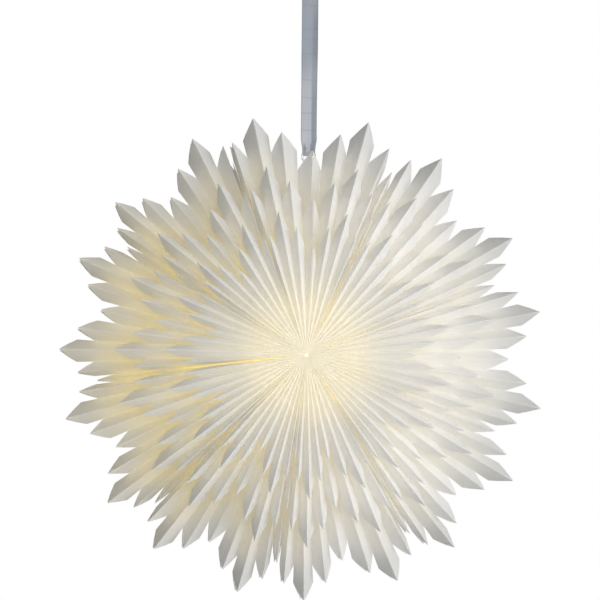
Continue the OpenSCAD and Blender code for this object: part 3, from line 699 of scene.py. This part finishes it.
# Lit opal glass: it glows warm and even, with the faint cloud of its coat
opal = new_material("lit_opal_glass")
place = add_node(opal, "ShaderNodeTexCoord", (-900, 0))
haze = add_node(opal, "ShaderNodeTexNoise", (-700, 100), {
    "Vector": place.outputs["Object"], "Scale": 120, "Detail": 2})
milk = add_node(opal, "ShaderNodeMix", (-450, 200), {
    "Factor": haze.outputs["Fac"], "A": srgb("#F6EFE2"), "B": srgb("#FFFBF2")},
    data_type="RGBA")
spread = add_node(opal, "ShaderNodeMapRange", (-450, -100), {
    "Value": haze.outputs["Fac"], "To Min": 17.0, "To Max": 19.0})
globe = add_node(opal, "ShaderNodeBsdfPrincipled", (-150, 100), {
    "Base Color": milk.outputs["Result"], "Roughness": 0.25,
    "Emission Color": srgb("#FFC24A"), "Emission Strength": spread.outputs["Result"]})
add_node(opal, "ShaderNodeOutputMaterial", (150, 100), {"Surface": globe.outputs["BSDF"]})
finish_nodes(opal, "bulb_glass")


# Bulb stem. A glass tube, flared, pressed round the lead wires and melted into the globe's
# neck. It carries the filaments.

# Pressed glass: clear, greenish where it is thick, with the streaks of its melting
stem = new_material("pressed_stem_glass")
place = add_node(stem, "ShaderNodeTexCoord", (-900, 0))
pulled = add_node(stem, "ShaderNodeMapping", (-700, 0), {
    "Vector": place.outputs["Object"], "Scale": (1, 1, 0.1)})
streaks = add_node(stem, "ShaderNodeTexNoise", (-500, 0), {
    "Vector": pulled.outputs["Vector"], "Scale": 900, "Detail": 2})
tint = add_node(stem, "ShaderNodeMix", (-300, 150), {
    "Factor": streaks.outputs["Fac"], "A": srgb("#D5E2DA"), "B": srgb("#EEF3EE")},
    data_type="RGBA")
ripple = add_node(stem, "ShaderNodeBump", (-300, -150), {
    "Height": streaks.outputs["Fac"], "Strength": 0.3, "Distance": 0.0001})
clear = add_node(stem, "ShaderNodeBsdfPrincipled", (-50, 100), {
    "Base Color": tint.outputs["Result"], "Roughness": 0.08, "Transmission Weight": 0.8,
    "IOR": 1.5, "Normal": ripple.outputs["Normal"]})
add_node(stem, "ShaderNodeOutputMaterial", (250, 100), {"Surface": clear.outputs["BSDF"]})
finish_nodes(stem, "bulb_stem")


# Filaments. Straight strips of light-emitting chips, coated with silicone and welded to the
# stem's wires.

# Phosphor in silicone: yellow, fine and grainy, and glowing warm
phosphor = new_material("phosphor_coat")
place = add_node(phosphor, "ShaderNodeTexCoord", (-900, 0))
powder = add_node(phosphor, "ShaderNodeTexNoise", (-700, 0), {
    "Vector": place.outputs["Object"], "Scale": 2600, "Detail": 2})
yellow = add_node(phosphor, "ShaderNodeMix", (-450, 150), {
    "Factor": powder.outputs["Fac"], "A": srgb("#E8A93A"), "B": srgb("#F7CB5E")},
    data_type="RGBA")
heat = add_node(phosphor, "ShaderNodeMapRange", (-450, -100), {
    "Value": powder.outputs["Fac"], "To Min": 22.0, "To Max": 30.0})
strip = add_node(phosphor, "ShaderNodeBsdfPrincipled", (-150, 100), {
    "Base Color": yellow.outputs["Result"], "Roughness": 0.6,
    "Emission Color": srgb("#FFC868"), "Emission Strength": heat.outputs["Result"]})
add_node(phosphor, "ShaderNodeOutputMaterial", (150, 100), {"Surface": strip.outputs["BSDF"]})
finish_nodes(phosphor, "bulb_filaments")


# Floor, background and lamps. A pale floor far below, a white room that is brighter on the
# right and behind, a soft lamp near the star on the right, and a large one in front.
def seen(material):
    """1 for what the eye sees, in a mirror or through glass too, and 0 for what gives light.
    Paper lets diffuse light through, which isn't the floor or room seen through glass."""
    ray = add_node(material, "ShaderNodeLightPath", (-900, 0))
    mirrored = add_node(material, "ShaderNodeMath", (-700, 150), {
        0: ray.outputs["Is Camera Ray"], 1: ray.outputs["Is Glossy Ray"]},
        operation="MAXIMUM")
    glazed = add_node(material, "ShaderNodeMath", (-700, 0), {
        0: ray.outputs["Is Transmission Ray"], 1: ray.outputs["Is Diffuse Ray"]},
        operation="SUBTRACT")
    return add_node(material, "ShaderNodeMath", (-500, 50), {
        0: mirrored.outputs[0], 1: glazed.outputs[0]}, operation="MAXIMUM").outputs[0]


bpy.ops.object.select_all(action="DESELECT")
bpy.ops.mesh.primitive_plane_add(size=12, location=(0, 0, -2.75))
floor = bpy.context.object
floor.name = "floor"
# Painted board: pale and matt, and shown paler than it is lit
pale = new_material("pale_floor")
matt = add_node(pale, "ShaderNodeBsdfPrincipled", (-300, -200), {
    "Base Color": srgb("#E8E8E6"), "Roughness": 0.8})
glow = add_node(pale, "ShaderNodeEmission", (-300, -600), {"Color": srgb("#FFFFFF")})
paler = add_node(pale, "ShaderNodeMath", (-300, 0), {0: seen(pale), 1: 0.6},
                 operation="MULTIPLY")
painted = add_node(pale, "ShaderNodeMixShader", (-100, 0), {
    0: paler.outputs[0], 1: matt.outputs["BSDF"], 2: glow.outputs["Emission"]})
add_node(pale, "ShaderNodeOutputMaterial", (100, 0), {"Surface": painted.outputs["Shader"]})
floor.data.materials.append(pale)

world = bpy.data.worlds.new("white_room")
bpy.context.scene.world = world
world.use_nodes = True
world.node_tree.nodes.clear()
# It is brighter on the right, in front, as from a wide window, and behind
facing = add_node(world, "ShaderNodeTexCoord", (-900, -400))
to_window = add_node(world, "ShaderNodeVectorMath", (-700, -400), {
    0: facing.outputs["Generated"], 1: (0.85, -0.52, 0.0)}, operation="DOT_PRODUCT")
window = add_node(world, "ShaderNodeMapRange", (-500, -400), {
    "Value": to_window.outputs["Value"], "From Min": -0.1, "From Max": 1.0, "To Min": 0.0,
    "To Max": 0.45}, interpolation_type="SMOOTHSTEP")
depth = add_node(world, "ShaderNodeSeparateXYZ", (-700, -650), {
    "Vector": facing.outputs["Generated"]})
behind = add_node(world, "ShaderNodeMapRange", (-500, -650), {
    "Value": depth.outputs["Y"], "From Min": 0.2, "From Max": 1.0, "To Min": 0.0,
    "To Max": 0.55}, interpolation_type="SMOOTHSTEP")
room = add_node(world, "ShaderNodeMath", (-400, -300), {
    0: window.outputs["Result"], 1: behind.outputs["Result"]}, operation="ADD")
level = add_node(world, "ShaderNodeMapRange", (-300, 0), {
    "Value": seen(world), "To Min": room.outputs[0], "To Max": 1.0})
air = add_node(world, "ShaderNodeBackground", (-100, 0), {
    "Color": srgb("#FFFFFF"), "Strength": level.outputs["Result"]})
add_node(world, "ShaderNodeOutputWorld", (100, 0), {"Surface": air.outputs["Background"]})

for name, place, size, watts in (("key_lamp", (1.2, -1.27, -0.1), 1.1, 13.5),
                                 ("front_lamp", (0.2, -3.0, 0.1), 2.5, 45)):
    bpy.ops.object.light_add(type="AREA", location=star + Vector(place))
    lamp = bpy.context.object
    lamp.name = name
    lamp.rotation_euler = (-Vector(place)).to_track_quat("-Z", "Y").to_euler()
    lamp.data.size, lamp.data.energy = size, watts
bpy.context.scene.view_settings.view_transform = "Standard"
